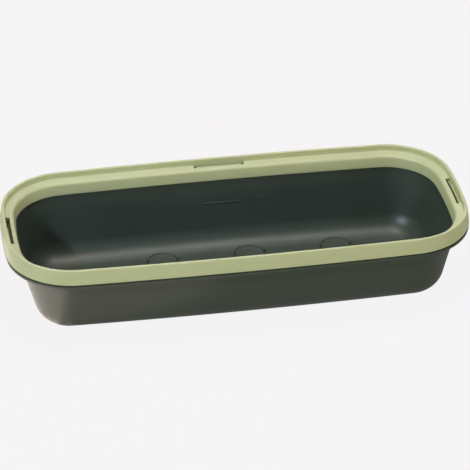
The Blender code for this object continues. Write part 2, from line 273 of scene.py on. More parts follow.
@dataclass(frozen=True)
class Outline:
    """Rounded rectangle whose sides bow outward, made of arcs that meet smoothly. Sizes in metres."""

    length: float
    depth: float
    corner: float
    end_bow: float
    side_bow: float

    def arcs(self) -> tuple[Arc, Arc, Arc]:
        """The end, corner and side arcs of the quarter at the right and back.

        Returns:
            The three arcs, in order from the middle of the right end to the middle of the back side.
        """
        half_length, half_depth = self.length / 2, self.depth / 2
        side_radius = (half_length ** 2 + self.side_bow ** 2) / (2 * self.side_bow)
        end_radius = (half_depth ** 2 + self.end_bow ** 2) / (2 * self.end_bow)
        side_centre = Vector((0, half_depth - side_radius))
        end_centre = Vector((half_length - end_radius, 0))
        from_side, from_end = side_radius - self.corner, end_radius - self.corner
        across = end_centre - side_centre
        span = across.length
        along = (from_side ** 2 - from_end ** 2 + span ** 2) / (2 * span)
        rise = math.sqrt(from_side ** 2 - along ** 2)
        unit = across / span
        normal = Vector((-unit.y, unit.x))
        corner_centre = max((side_centre + along * unit + turn * rise * normal for turn in (1, -1)),
                            key=lambda p: p.y)
        end_spoke, side_spoke = corner_centre - end_centre, corner_centre - side_centre
        end_angle = math.atan2(end_spoke.y, end_spoke.x)
        side_angle = math.atan2(side_spoke.y, side_spoke.x)
        return (
            Arc(end_centre, end_radius, 0.0, end_angle),
            Arc(corner_centre, self.corner, end_angle, side_angle),
            Arc(side_centre, side_radius, side_angle, math.pi / 2),
        )

    def stations(self, cut: float, trim: float, steps: tuple[int, int, int]) -> list[Station]:
        """Where the sections stand in one quarter, with one at each end of a slot.

        Args:
            cut: Half the length of the slot in the middle of each side.
            trim: How much shorter the slots of the two ends are at the front.
            steps: Number of steps of the end, corner and side arcs.

        Returns:
            Pairs of arc number and share of that arc, without the last point.
        """
        end, _, side = self.arcs()
        end_cut = cut / end.radius / (end.last - end.first)
        side_cut = 1 - cut / side.radius / (side.last - side.first)
        even = [[k / count for k in range(count)] for count in steps]
        # Beside a slot's end, no section stands closer than this share of a step
        room = 0.4
        rows = (
            [end_cut * share for share in (0, 0.25, 0.5, 0.75, 1 - trim / cut, 1)]
            + [share for share in even[0] if share > end_cut + room / steps[0]],
            even[1],
            [share for share in even[2] if share < side_cut - room / steps[2]]
            + [side_cut + k * (1 - side_cut) / 5 for k in range(5)],
        )
        return [(number, share) for number, row in enumerate(rows) for share in row]

    def loop(self, stations: list[Station], inset: float = 0.0) -> list[Vector]:
        """Whole closed loop, counter-clockwise from the middle of the right end.

        Args:
            stations: The sections of one quarter.
            inset: How far inward, in metres.

        Returns:
            Points in plan.
        """
        arcs = self.arcs()
        first = [arcs[number].point(share, inset) for number, share in stations]
        top = arcs[2].point(1.0, inset)
        half = first + [top] + [Vector((-p.x, p.y)) for p in reversed(first[1:])]
        return half + [-p for p in half]

    def side_point(self, side: Side, along: float, inset: float) -> tuple[float, float]:
        """Point beside one side, at a distance along it from its middle.

        Args:
            side: Which side.
            along: Distance from the middle of that side, towards the back or the right.
            inset: How far inward.

        Returns:
            The point in plan.
        """
        end, _, long = self.arcs()
        arc = end if side.on_end else long
        angle = along / arc.radius
        out, cross = (arc.radius - inset) * math.cos(angle), (arc.radius - inset) * math.sin(angle)
        if side.on_end:
            return side.sign * (arc.centre.x + out), cross
        return cross, side.sign * (arc.centre.y + out)


def round_corner(centre: tuple[float, float], radius: float, first: float, last: float, steps: int) -> Profile:
    """Points of an arc in a cross-section, between two angles in degrees."""
    angles = [math.radians(first + (last - first) * k / steps) for k in range(steps + 1)]
    return [(centre[0] + radius * math.cos(a), centre[1] + radius * math.sin(a)) for a in angles]


def nearest_point(profile: Profile, inset: float, ceiling: float = math.inf) -> int:
    """Number of the point that lies nearest to an inset, among those below the ceiling."""
    low = [k for k, point in enumerate(profile) if point[1] < ceiling]
    return min(low, key=lambda k: abs(profile[k][0] - inset))


def level(points: Iterable[Vector], height: float) -> list[Vector]:
    """Points in plan, lifted to one height."""
    return [Vector((p.x, p.y, height)) for p in points]


class Skin:
    """A mesh under construction, made of closed loops and the faces between them."""

    def __init__(self, name: str) -> None:
        """Start an empty skin with the name that its piece gets."""
        self.name = name
        self.shape = bmesh.new()

    def loop(self, points: Iterable[Vector]) -> list[bmesh.types.BMVert]:
        """Add the corners of one loop or row."""
        return [self.shape.verts.new(point) for point in points]

    def bridge(self, lower: list[bmesh.types.BMVert], upper: list[bmesh.types.BMVert],
               wanted: Callable[[int], bool] | None = None) -> None:
        """Join two loops of the same length with four-sided faces.

        Args:
            lower: One loop.
            upper: The other loop.
            wanted: Says for a segment's number whether it gets a face; all do without it.
        """
        count = len(lower)
        for i in range(count):
            if wanted is None or wanted(i):
                j = (i + 1) % count
                self.shape.faces.new((lower[i], lower[j], upper[j], upper[i]))

    def cap(self, loop: list[bmesh.types.BMVert]) -> None:
        """Close a loop with one face."""
        self.shape.faces.new(loop)

    def finish(self) -> bpy.types.Object:
        """Turn the skin into an object whose faces look outward.

        Returns:
            The new object, linked to the scene.
        """
        bmesh.ops.recalc_face_normals(self.shape, faces=self.shape.faces)
        mesh = bpy.data.meshes.new(self.name)
        self.shape.to_mesh(mesh)
        self.shape.free()
        made = bpy.data.objects.new(self.name, mesh)
        bpy.context.scene.collection.objects.link(made)
        return made


def lofted(name: str, sections: Iterable[Iterable[Vector]], ring: bool = False) -> bpy.types.Object:
    """Closed shape through outlines that have the same number of corners.

    Args:
        name: Name of the piece.
        sections: Corners of each outline.
        ring: True where the last outline joins the first one; otherwise both ends are capped.

    Returns:
        The new object.
    """
    skin = Skin(name)
    loops = [skin.loop(section) for section in sections]
    for near, far in zip(loops, loops[1:] + loops[:int(ring)]):
        skin.bridge(near, far)
    if not ring:
        skin.cap(loops[0])
        skin.cap(loops[-1])
    return skin.finish()


def turned(name: str, place: tuple[float, float], profile: Profile) -> bpy.types.Object:
    """Round piece about an upright axis, closed at both ends of its profile.

    Args:
        name: Name of the piece.
        place: Where the axis stands, in plan.
        profile: Pairs of radius and height.

    Returns:
        The new object.
    """
    spokes = [2 * math.pi * k / ROUND_STEPS for k in range(ROUND_STEPS)]
    return lofted(name, (
        [Vector((place[0] + r * math.cos(a), place[1] + r * math.sin(a), z)) for a in spokes] for r, z in profile))


def settle(made: bpy.types.Object) -> None:
    """Keep the result of the object's modifiers as its own mesh.

    Args:
        made: The object, which loses its modifiers.
    """
    bpy.context.view_layer.update()
    result = bpy.data.meshes.new_from_object(made.evaluated_get(bpy.context.evaluated_depsgraph_get()))
    old = made.data
    made.modifiers.clear()
    made.data = result
    bpy.data.meshes.remove(old)


def use_tools(made: bpy.types.Object, tools: list[bpy.types.Object], cut: Cut) -> None:
    """Join or cut with closed tool shapes, keep the result and remove the tools.

    Args:
        made: The piece that is changed.
        tools: Closed shapes.
        cut: Whether they are added or taken away.
    """
    for tool in tools:
        change = made.modifiers.new(tool.name, "BOOLEAN")
        change.operation = cut.value
        change.solver = "EXACT"
        change.object = tool
    settle(made)
    for tool in tools:
        bpy.data.objects.remove(tool)


def soften(made: bpy.types.Object, width: float, angle: float) -> None:
    """Round the sharp edges a little, as a mould does, and shade the rest smoothly.

    Args:
        made: The piece.
        width: Width of the rounding in metres; nought leaves the edges sharp.
        angle: Edges that turn by more than this many degrees count as sharp.
    """
    if width:
        bevel = made.modifiers.new("edge_round", "BEVEL")
        bevel.width = width
        bevel.segments = 2
        bevel.limit_method = "ANGLE"
        bevel.angle_limit = math.radians(angle)
        bevel.use_clamp_overlap = True
        settle(made)
    made.data.shade_smooth()
    made.data.set_sharp_from_angle(angle=math.radians(angle))
    weigh = made.modifiers.new("weighted_shading", "WEIGHTED_NORMAL")
    weigh.keep_sharp = True
    settle(made)


def carry(made: bpy.types.Object, material: bpy.types.Material, body: str, slot: str, *nodes: str) -> None:
    """Dress a piece and let it ride on its body in place of the plain solids.

    Args:
        made: The piece.
        material: Its material.
        body: The body that it moves with.
        slot: The record's material slot; not used.
        *nodes: The plain solids that it stands for.
    """
    made.data.materials.clear()
    made.data.materials.append(material)
    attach(made, body)
    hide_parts(*nodes)
    low, high = (Vector(c) for c in (made.bound_box[0], made.bound_box[6]))
    sizes = [length / MM for length in high - low]
    log.info("%s: %d faces, %.1f x %.1f x %.1f mm", made.name, len(made.data.polygons), *sizes)


# ---------------------------------------------------------------- the tray's parts


@dataclass(frozen=True)
class TrayPlan:
    """Sizes that more than one part follows. In metres."""

    frame: Outline = Outline(0.5000, 0.2158, 0.0724, 0.0095, 0.00585)
    base: Outline = Outline(0.4490, 0.1644, 0.0377, 0.0076, 0.00468)
    skirt_height: float = 0.0791
    frame_width: float = 0.0165
    inner_draft: float = 0.0007
    inner_reach: float = 0.0053
    frame_wall: float = 0.0019
    nest_gap: float = 0.0003
    slot_length: float = 0.0560
    end_slot_trim: float = 0.0022
    wall: float = 0.0022
    drain_step: float = 0.0971
    drain_shift: float = 0.0010
    drain_row: float = 0.0449
    seat_radius: float = 0.0180
    seat_rise: float = 0.0023
    head_radius: float = 0.0158
    head_thickness: float = 0.0019
    hole_radius: float = 0.0103
    plug_gap: float = 0.0003
    steps: tuple[int, int, int] = (8, 30, 12)

    @property
    def stations(self) -> list[Station]:
        """Where the sections of every swept piece stand in one quarter."""
        return self.frame.stations(self.slot_length / 2, self.end_slot_trim, self.steps)

    @property
    def nest_inset(self) -> float:
        """Inset of the trough's inner face beside the frame's inner wall."""
        return self.frame_width + self.inner_draft - self.frame_wall - self.nest_gap

    @property
    def wall_top(self) -> float:
        """Height at which the trough's leaning wall meets its flange, level with the frame's inner foot."""
        return self.skirt_height - self.inner_reach

    @property
    def seat_top(self) -> float:
        """Height of the top of the drain seats."""
        return self.wall + self.seat_rise

    def drains(self) -> dict[str, tuple[float, float]]:
        """Place of each drain: the two rows are shifted by half a step against each other.

        Returns:
            The middle of each drain in plan, by the name of its place.
        """
        places = {}
        for row, first, y in (("back", -0.75, self.drain_row), ("front", -1.25, -self.drain_row)):
            for index, word in enumerate(("left", "middle", "right")):
                places[f"{row}_{word}"] = ((first + index) * self.drain_step + self.drain_shift, y)
        return places

    def bar(self, name: str, side: Side, reach: tuple[float, float], steps: int,
            section: Callable[[float, float], Profile]) -> bpy.types.Object:
        """Closed bar that follows one side of the frame.

        Args:
            name: Name of the piece.
            side: The side that it follows.
            reach: Where it begins and ends, from the middle of that side.
            steps: Number of steps along it.
            section: Gives insets and heights of its corners for a place along the side and a share of the bar.

        Returns:
            The new object.
        """
        sections = []
        for step in range(steps + 1):
            share = step / steps
            along = reach[0] + (reach[1] - reach[0]) * share
            sections.append([Vector((*self.frame.side_point(side, along, inset), height))
                             for inset, height in section(along, share)])
        return lofted(name, sections)


@dataclass
class RimFrame:
    """Pale frame on the flange: skirt, raised lip, sloping ledge with four slots, and an inner wall."""

    plan: TrayPlan
    finish: MouldedPolypropylene
    lip_height: float = 0.0163
    lip_width: float = 0.0032
    lip_round: float = 0.0011
    lip_draft: float = 0.0005
    skirt_draft: float = 0.0023
    skirt_rows: tuple[float, ...] = (0.004, 0.008, 0.012)
    foot_round: float = 0.0004
    edge_round: float = 0.00015
    crease_radius: float = 0.0009
    crease_rise: float = 0.0008
    ledge_drop: float = 0.0068
    ledge_fall: float = 0.0014
    ledge_row: float = 0.0112
    shoulder_radius: float = 0.0037
    shoulder_shift: float = 0.0010
    slot_inset: float = 0.0058
    slot_width: float = 0.0046
    rib_shown: float = 0.0016
    rib_top: float = 0.0072
    rib_depth: float = 0.0036
    rib_bevel: float = 0.0006
    rib_foot_bevel: float = 0.0004
    rib_end_gap: float = 0.0030
    rib_steps: int = 28
    left_rib_gap: float = 0.0186
    right_rib_gap: float = 0.0070
    right_rib_step: float = 0.0012
    right_rib_ease: float = 0.0030
    collar_wall: float = 0.0012
    collar_sunk: float = 0.0004
    collar_end_depth: float = 0.0022
    inner_collar: tuple[float, float] = (0.0030, 0.0030)
    outer_collar: tuple[float, float] = (0.0003, 0.0016)
    made: list[bpy.types.Object] = field(default_factory=list)

    @property
    def crease(self) -> tuple[float, float]:
        """Where the lip's inner face meets the ledge."""
        return self.skirt_draft + self.lip_width + self.lip_draft, self.lip_height - self.ledge_drop

    @property
    def slope(self) -> float:
        """How far the ledge falls for each unit inward."""
        return self.ledge_fall / (self.plan.frame_width - self.shoulder_radius - self.crease[0])

    @property
    def lean(self) -> float:
        """The ledge's slope in degrees."""
        return math.degrees(math.atan(self.slope))

    @property
    def shoulder_height(self) -> float:
        """Height of the middle of the shoulder's arc."""
        return self.crease[1] - self.ledge_fall - self.shoulder_radius

    @property
    def slot_far(self) -> float:
        """Inset of the slots' inner edge."""
        return self.slot_inset + self.slot_width

    def ledge_height(self, inset: float) -> float:
        """Height of the ledge's top at an inset."""
        return self.crease[1] - self.slope * (inset - self.crease[0])

    def top_profile(self) -> Profile:
        """Upper side of the cross-section, from the skirt's foot to the foot of the inner wall.

        Returns:
            Insets and heights above the skirt's lower edge.
        """
        plan, foot = self.plan, self.foot_round
        tilt = math.degrees(math.atan(self.skirt_draft / self.lip_height))
        top = self.lip_height - self.lip_round
        outer = (self.skirt_draft + self.lip_round, top)
        inner = (self.skirt_draft + self.lip_width - self.lip_round, top)
        crease = (self.crease[0] + self.crease_radius, self.crease[1] + self.crease_rise)
        shoulder = (plan.frame_width - self.shoulder_shift - self.shoulder_radius, self.shoulder_height)
        points = [(foot, 0.0), (foot * 0.3, foot * 0.3)]
        points += [(self.skirt_draft * z / self.lip_height, z) for z in (foot, *self.skirt_rows)]
        points += round_corner(outer, self.lip_round, 180 - tilt, 90, 6)
        points += round_corner(inner, self.lip_round, 90, 0, 6)
        points += round_corner(crease, self.crease_radius, 180, 250, 3)
        points += [(x, self.ledge_height(x)) for x in (self.slot_far, self.ledge_row)]
        points += round_corner(shoulder, self.shoulder_radius, 90 - self.lean, 0, 9)
        face, reach = plan.frame_width + plan.inner_draft, -plan.inner_reach
        return points + [(face - foot, reach * 0.4), (face, reach + foot), (face - foot, reach)]

    def under_profile(self) -> Profile:
        """Lower side of the cross-section, from the foot of the inner wall back to the skirt's foot.

        Returns:
            Insets and heights above the skirt's lower edge.
        """
        plan, wall = self.plan, self.plan.frame_wall
        shoulder = (plan.frame_width - self.shoulder_radius, self.shoulder_height)
        points = [(plan.frame_width + plan.inner_draft - wall, -plan.inner_reach)]
        points += round_corner(shoulder, self.shoulder_radius - wall, 0, 90 - self.lean, 4)
        inset, height = points[-1]
        points += [(x, height + self.slope * (inset - x)) for x in (self.slot_far, self.slot_inset)]
        # The skirt's inner face stands at two thirds of its draft where it meets the ledge
        height += self.slope * (inset - 2 * self.skirt_draft / 3 - wall)
        return points + [(self.skirt_draft * height / self.lip_height + wall, height), (wall, 0.0)]

    def build_shell(self) -> bpy.types.Object:
        """Sweep the cross-section round the outline and leave a window in the ledge for each slot.

        Returns:
            The frame without its ribs.
        """
        plan, outline, stations = self.plan, self.plan.frame, self.plan.stations
        top, under = self.top_profile(), self.under_profile()
        # The slot's outer edge is looked for below the lip, up to 2 mm over the ledge
        first_top = nearest_point(top, self.slot_inset, self.crease[1] + 2 * MM)
        last_top = nearest_point(top, self.slot_far)
        inner_under = len(top) + nearest_point(under, self.slot_far)
        outer_under = inner_under + 1
        profile = top + under
        profile[first_top] = (self.slot_inset, profile[first_top][1])

        skin = Skin("rim_frame_shell")
        loops = [skin.loop(level(outline.loop(stations, inset), plan.skirt_height + z)) for inset, z in profile]
        line = outline.loop(stations)
        half = plan.slot_length / 2
        open_ledge = [
            (abs(m.x) < half and abs(m.y) > outline.depth / 4)
            or (plan.end_slot_trim - half < m.y < half and abs(m.x) > outline.length / 4)
            for m in ((a + b) / 2 for a, b in zip(line, line[1:] + line[:1]))
        ]
        for k, loop in enumerate(loops):
            crossed = first_top <= k < last_top or k == inner_under
            skin.bridge(loop, loops[(k + 1) % len(loops)], (lambda i: not open_ledge[i]) if crossed else None)
        skin.bridge(loops[first_top], loops[outer_under], lambda i: open_ledge[i])
        skin.bridge(loops[last_top], loops[inner_under], lambda i: open_ledge[i])
        for i in range(len(line)):
            if open_ledge[i] != open_ledge[i - 1]:
                skin.cap([loops[k][i] for k in (*range(first_top, last_top + 1), inner_under, outer_under)])
        made = skin.finish()
        soften(made, self.edge_round, 50.0)
        return made

    def build_rib(self, side: Side) -> bpy.types.Object:
        """Rib on the inside of the skirt, which shows at the outer edge of its slot.

        Args:
            side: The side of the frame that it stands on.

        Returns:
            The rib.
        """
        plan, half = self.plan, self.plan.slot_length / 2
        gap = 0.0 if side.on_end else self.rib_end_gap
        reach = (gap - half, half - (self.left_rib_gap if side is Side.LEFT else gap))
        outer, inner = plan.frame_wall, self.slot_inset + self.rib_shown
        top, bevel, foot_bevel = plan.skirt_height + self.rib_top, self.rib_bevel, self.rib_foot_bevel
        low = top - self.rib_depth

        def section(along: float, _: float) -> Profile:
            """Corners of the rib, whose top eases down near one end on the right side.

            Args:
                along: Place along the side.
                _: The share of the bar, which isn't needed.

            Returns:
                Insets and heights.
            """
            past = along - (half - self.right_rib_gap) if side is Side.RIGHT else 0.0
            high = top - self.right_rib_step * min(1.0, max(0.0, past / self.right_rib_ease))
            return [(outer, low), (inner - bevel, low), (inner, low + foot_bevel), (inner, high - bevel),
                    (inner - bevel, high), (outer, high)]

        made = plan.bar(f"rim_rib_{side.value}", side, reach, self.rib_steps, section)
        soften(made, self.edge_round, 30.0)
        return made

    def build_collar(self, side: Side, edge: SlotEdge) -> bpy.types.Object:
        """Short wall that hangs from one edge of a slot, so that the plastic looks thick there.

        Args:
            side: The side of the frame with the slot.
            edge: Which edge of the slot it hangs from.

        Returns:
            The wall.
        """
        plan, half, wall, sunk = self.plan, self.plan.slot_length / 2, self.collar_wall, self.collar_sunk
        reach, (near, far), (first, last) = {
            SlotEdge.FAR_END: ((half, half + wall), (self.slot_inset, self.slot_far), (self.collar_end_depth,) * 2),
            SlotEdge.INNER: ((-half, half), (self.slot_far, self.slot_far + wall), self.inner_collar),
            SlotEdge.OUTER: ((-half, half), (self.slot_inset - wall, self.slot_inset), self.outer_collar),
        }[edge]

        def section(_: float, share: float) -> Profile:
            """Two corners sunk into the ledge and two that hang below it.

            Args:
                _: The place along the side, which isn't needed.
                share: Share of the collar, nought to one.

            Returns:
                Insets and heights.
            """
            depth = first + (last - first) * share
            return [(x, plan.skirt_height + self.ledge_height(x) - plan.frame_wall + rise)
                    for x, rise in ((near, sunk), (far, sunk), (far, -depth), (near, -depth))]

        return plan.bar(f"rim_slot_{side.value}_{edge.value}", side, reach, BAR_STEPS, section)

    def build(self) -> None:
        """Build the frame, its four ribs and the walls that hang from the edges of its slots."""
        self.made = [self.build_shell()] + [self.build_rib(side) for side in Side]
        for side in Side:
            edges = (SlotEdge.INNER, SlotEdge.FAR_END) if side.on_end else (SlotEdge.OUTER,)
            self.made += [self.build_collar(side, edge) for edge in edges]

    def dress(self) -> None:
        """Give every piece of the frame its plastic and its body."""
        material = self.finish.build()
        for made in self.made:
            carry(made, material, "rim", "frame_plastic", "rim_frame")


@dataclass
class Trough:
    """Dark trough: rounded floor, leaning wall, flange with a rolled edge, drain seats and a raised fill line."""

    plan: TrayPlan
    finish: MouldedPolypropylene
    # The ribs' plastic is a browner copy of the trough's, with painted warm light from the pale frame
    upstand_painted_light_finish: MouldedPolypropylene
    base_fillet: float = 0.0286
    fillet_steps: int = 18
    floor_rim: float = 0.0012
    wall_steps: int = 6
    seat_gap: float = 0.0003
    flange_thickness: float = 0.0020
    flange_inset: float = 0.0002
    edge_height: float = 0.0032
    edge_wall: float = 0.0020
    edge_round: float = 0.0007
    edge_round_middle: float = 0.0002
    edge_round_top: float = 0.0006
    edge_chamfer: float = 0.0005
    flange_chamfer: float = 0.0004
    wall_shift: float = 0.0006
    step_depth: float = 0.0015
    step_width: float = 0.0012
    mouth_round: float = 0.0009
    mouth_shift: float = 0.0008
    upstand_height: float = 0.0044
    upstand_span: tuple[float, float] = (0.0077, 0.0101)
    step_span: tuple[float, float] = (0.0061, 0.0079)
    step_length: float = 0.0181
    mark_height: float = 0.0479
    mark_raise: float = 0.0006
    mark_slope: float = 0.0010
    mark_foot: float = 0.0001
    line_length: float = 0.0420
    line_width: float = 0.0028
    arrow_size: float = 0.0044
    arrow_x: float = 0.0400
    arrow_rise: float = 0.0015
    ring_x: float = 0.0333
    ring_radius: float = 0.0050
    ring_width: float = 0.0016
    ring_steps: int = 32
    dash_length: float = 0.0090
    dash_x: float = 0.0485
    dash_rise: float = 0.0030
    seat_round: float = 0.0005
    drain_chamfer: float = 0.0003
    notch_width: float = 0.0018
    notch_length: float = 0.0050
    notch_depth: float = 0.0017
    notch_overlap: float = 0.0005
    cut_low: float = -0.01
    cut_high: float = 0.02
    made: bpy.types.Object | None = None
    upstands: list[bpy.types.Object] = field(default_factory=list)

    @property
    def sunk(self) -> float:
        """How deep a shape that is joined to a wall or floor is sunk into it."""
        return self.plan.wall * 0.5

    def wall_lean(self, thickness: float) -> float:
        """How far below level the rounded foot of the wall begins.

        Args:
            thickness: Nought for the outer face, the wall's thickness for the inner one.

        Returns:
            The angle in degrees.
        """
        plan = self.plan
        drop = plan.wall_top - self.base_fillet
        apart = (plan.frame.length - plan.base.length) / 2 - (plan.nest_inset - plan.wall)
        reach = apart + self.base_fillet - thickness
        tangent = math.acos((self.base_fillet - thickness) / math.hypot(drop, reach))
        return math.degrees(tangent - math.atan2(drop, reach))

    def foot_profile(self, thickness: float) -> Profile:
        """Rounded foot of the wall, from its top down on to the flat floor.

        Args:
            thickness: Nought for the outer face, the wall's thickness for the inner one.

        Returns:
            Insets from the base outline, and heights.
        """
        middle, radius, lean = self.base_fillet, self.base_fillet - thickness, self.wall_lean(thickness)
        angles = [math.radians(lean + (90 - lean) * k / self.fillet_steps) for k in range(self.fillet_steps + 1)]
        arc = [(middle - radius * math.cos(a), middle - radius * math.sin(a)) for a in angles]
        return arc + [(middle + self.floor_rim, thickness)]

    def flange_profile(self) -> Profile:
        """Outer wall's top, rolled edge, flange and mouth.

        Returns:
            Insets from the frame's outline, and heights.
        """
        plan = self.plan
        top = plan.skirt_height - self.seat_gap
        step, underside = top - self.step_depth, top - self.flange_thickness
        foot = step - self.edge_height
        inside, out = plan.nest_inset, self.flange_inset
        under, edge = inside - plan.wall - self.wall_shift, out + self.edge_wall
        mouth = (inside - self.mouth_shift - self.mouth_round, top - self.mouth_round)
        return [
            (inside - plan.wall, plan.wall_top),
            (under, underside - self.edge_chamfer),
            (under - self.edge_chamfer, underside),
            (edge + self.flange_chamfer, underside),
            (edge, underside - self.flange_chamfer),
            (edge, foot + self.edge_chamfer),
            (edge - self.edge_chamfer, foot),
            (out + self.edge_round, foot),
            (out + self.edge_round_middle, foot + self.edge_round_middle),
            (out, foot + self.edge_round),
            (out, step - self.edge_round),
            (out + self.edge_round_middle, step - self.edge_round_middle),
            (out + self.edge_round_top, step),
            (out + self.step_width, step),
            (out + self.step_width, top),
            *round_corner(mouth, self.mouth_round, 90, 0, 4),
            (inside, plan.wall_top),
        ]

    def build_shell(self) -> bpy.types.Object:
        """Outer floor, wall, flange, inner wall and inner floor in one closed skin.

        Returns:
            The plain trough.
        """
        plan, stations = self.plan, self.plan.stations
        outer = [(plan.base.loop(stations, inset), z) for inset, z in reversed(self.foot_profile(0.0))]
        rim = [(plan.frame.loop(stations, inset), z) for inset, z in self.flange_profile()]
        inner = [(plan.base.loop(stations, inset), z) for inset, z in self.foot_profile(plan.wall)]
        rows = outer + self.between(outer[-1], rim[0]) + rim + self.between(rim[-1], inner[0]) + inner
        return lofted("trough", (level(points, z) for points, z in rows))

    def between(self, start: Row, end: Row) -> list[Row]:
        """Rows at even steps along the straight wall.

        Args:
            start: The row that the wall starts from.
            end: The row where it ends.

        Returns:
            The rows between these two.
        """
        rows = []
        for share in (step / self.wall_steps for step in range(1, self.wall_steps)):
            points = [a.lerp(b, share) for a, b in zip(start[0], end[0])]
            rows.append((points, start[1] + (end[1] - start[1]) * share))
        return rows

    def seats(self) -> list[bpy.types.Object]:
        """Raised round seats with a rounded upper edge, which reach down into the rounded foot of the wall.

        Returns:
            Closed shapes.
        """
        plan, bevel = self.plan, self.seat_round
        over = max(0.0, plan.drain_row + plan.seat_radius - (plan.base.depth / 2 - self.base_fillet))
        rise = self.base_fillet - math.sqrt(max(0.0, self.base_fillet ** 2 - over ** 2))
        # The seat's foot stays inside the floor, and clear of the rounded underside beside it
        foot = min(max(self.sunk, rise + plan.wall * 0.2), plan.wall * 0.95)
        profile = [(plan.seat_radius, foot)]
        profile += round_corner((plan.seat_radius - bevel, plan.seat_top - bevel), bevel, 0, 90, 4)
        return [turned(f"seat_{word}", place, profile) for word, place in plan.drains().items()]

    def drain_cutters(self) -> list[bpy.types.Object]:
        """Holes, recesses for the plugs' heads, and the two side notches of each drain.

        Returns:
            Closed tools.
        """
        plan, chamfer = self.plan, self.drain_chamfer
        radius, hole_radius = plan.head_radius + plan.plug_gap, plan.hole_radius
        hole = [(hole_radius + chamfer, self.cut_low), (hole_radius + chamfer, 0.0), (hole_radius, chamfer),
                (hole_radius, self.cut_high)]
        recess = [(radius, plan.seat_top - plan.head_thickness - plan.plug_gap), (radius, plan.seat_top - chamfer),
                  (radius + chamfer, plan.seat_top), (radius + chamfer, self.cut_high)]
        a, b = self.notch_width / 2, self.notch_length / 2
        tools = []
        for word, (x, y) in plan.drains().items():
            tools += [turned(f"hole_{word}", (x, y), hole), turned(f"recess_{word}", (x, y), recess)]
            for turn in (-1, 1):
                middle = x + turn * (radius + a - self.notch_overlap)
                corners = [Vector(c) for c in ((middle - a, y - b), (middle + a, y - b), (middle + a, y + b),
                                               (middle - a, y + b))]
                heights = (plan.seat_top - self.notch_depth, self.cut_high)
                tools.append(lofted(f"notch_{word}_{turn + 1}", [level(corners, height) for height in heights]))
        return tools

    def build_upstand(self, name: str, side: Side, span: tuple[float, float],
                      reach: tuple[float, float]) -> bpy.types.Object:
        """Low rib on the flange that shows dark through an end slot.

        Args:
            name: Name of the rib.
            side: The end that it stands at.
            span: Its outer and inner face, from the frame's outline.
            reach: Where it begins and ends along the slot.

        Returns:
            The closed rib.
        """
        plan = self.plan
        low = plan.skirt_height - plan.nest_gap - self.flange_thickness / 2
        high = plan.skirt_height + self.upstand_height
        corners = [(span[0], low), (span[1], low), (span[1], high), (span[0], high)]
        return plan.bar(name, side, reach, BAR_STEPS, lambda along, share: corners)

    def on_back_wall(self, across: float, up: float, out: float) -> Vector:
        """Point on or beside the back wall's inner face, measured from the middle of the fill line.

        Args:
            across: Distance to the right.
            up: Distance up along the leaning wall.
            out: Distance into the wall, square to it.

        Returns:
            The point.
        """
        plan = self.plan
        foot_inset, foot_height = self.foot_profile(plan.wall)[0]
        low_depth, high_depth = plan.base.depth / 2 - foot_inset, plan.frame.depth / 2 - plan.nest_inset
        share = (self.mark_height - foot_height) / (plan.wall_top - foot_height)
        depth = low_depth + share * (high_depth - low_depth)
        tilt = math.atan2(high_depth - low_depth, plan.wall_top - foot_height)
        return Vector((across, depth + up * math.sin(tilt) + out * math.cos(tilt),
                       self.mark_height + up * math.cos(tilt) - out * math.sin(tilt)))

    def wall_plate(self, name: str, corners: Profile) -> bpy.types.Object:
        """Thin raised shape on the back wall with sloping edges, sunk a little into the wall.

        Args:
            name: Name of the shape.
            corners: Places across and up from the mark's middle.

        Returns:
            The closed shape.
        """
        middle = Vector([sum(values) / len(corners) for values in zip(*corners)])
        faces = []
        for out, shrink in ((-self.mark_raise, self.mark_slope), (self.sunk, -self.mark_foot)):
            face = []
            for corner in map(Vector, corners):
                inward = Vector([math.copysign(min(shrink, abs(reach)), reach) for reach in corner - middle])
                face.append(self.on_back_wall(*(corner - inward), out))
            faces.append(face)
        return lofted(name, faces)

    def wall_ring(self, name: str) -> bpy.types.Object:
        """Thin raised ring on the back wall with sloping sides, sunk a little into the wall.

        Args:
            name: Name of the shape.

        Returns:
            The closed ring.
        """
        angles = [2 * math.pi * step / self.ring_steps for step in range(self.ring_steps)]
        # The ring's top is flat over the middle part of its width
        section = ((0.0, self.sunk), (0.3, -self.mark_raise), (0.7, -self.mark_raise), (1.0, self.sunk))
        loops = []
        for share, out in section:
            radius = self.ring_radius - self.ring_width * share
            loops.append([self.on_back_wall(self.ring_x + radius * math.cos(a), radius * math.sin(a), out)
                          for a in angles])
        return lofted(name, loops, ring=True)

    def marks(self) -> list[bpy.types.Object]:
        """Fill line, plain arrow head in a ring beside it, and a short dash.

        Returns:
            Closed shapes.
        """
        half = self.arrow_size / 2
        x, z = self.arrow_x, self.arrow_rise
        made = [self.wall_plate("fill_arrow", [(x, z - half), (x + half, z + half), (x - half, z + half)]),
                self.wall_ring("fill_ring")]
        for name, x, z, length in (("fill_line", 0.0, 0.0, self.line_length),
                                   ("fill_dash", self.dash_x, self.dash_rise, self.dash_length)):
            a, b = length / 2, self.line_width / 2
            made.append(self.wall_plate(name, [(x - a, z - b), (x + a, z - b), (x + a, z + b), (x - a, z + b)]))
        return made

    def build(self) -> None:
        """Build the trough with its seats, marks and drain holes, and the low ribs under the end slots."""
        self.made = self.build_shell()
        use_tools(self.made, self.seats(), Cut.ADD)
        use_tools(self.made, self.marks(), Cut.ADD)
        use_tools(self.made, self.drain_cutters(), Cut.REMOVE)
        soften(self.made, 0.0, 32.0)
        half = self.plan.slot_length / 2 - self.plan.nest_gap
        self.upstands = [self.build_upstand(f"tray_upstand_{side.value}", side, self.upstand_span, (-half, half))
                         for side in Side if side.on_end]
        self.upstands.append(self.build_upstand("tray_upstand_left_step", Side.LEFT, self.step_span,
                                                (half - self.step_length, half)))

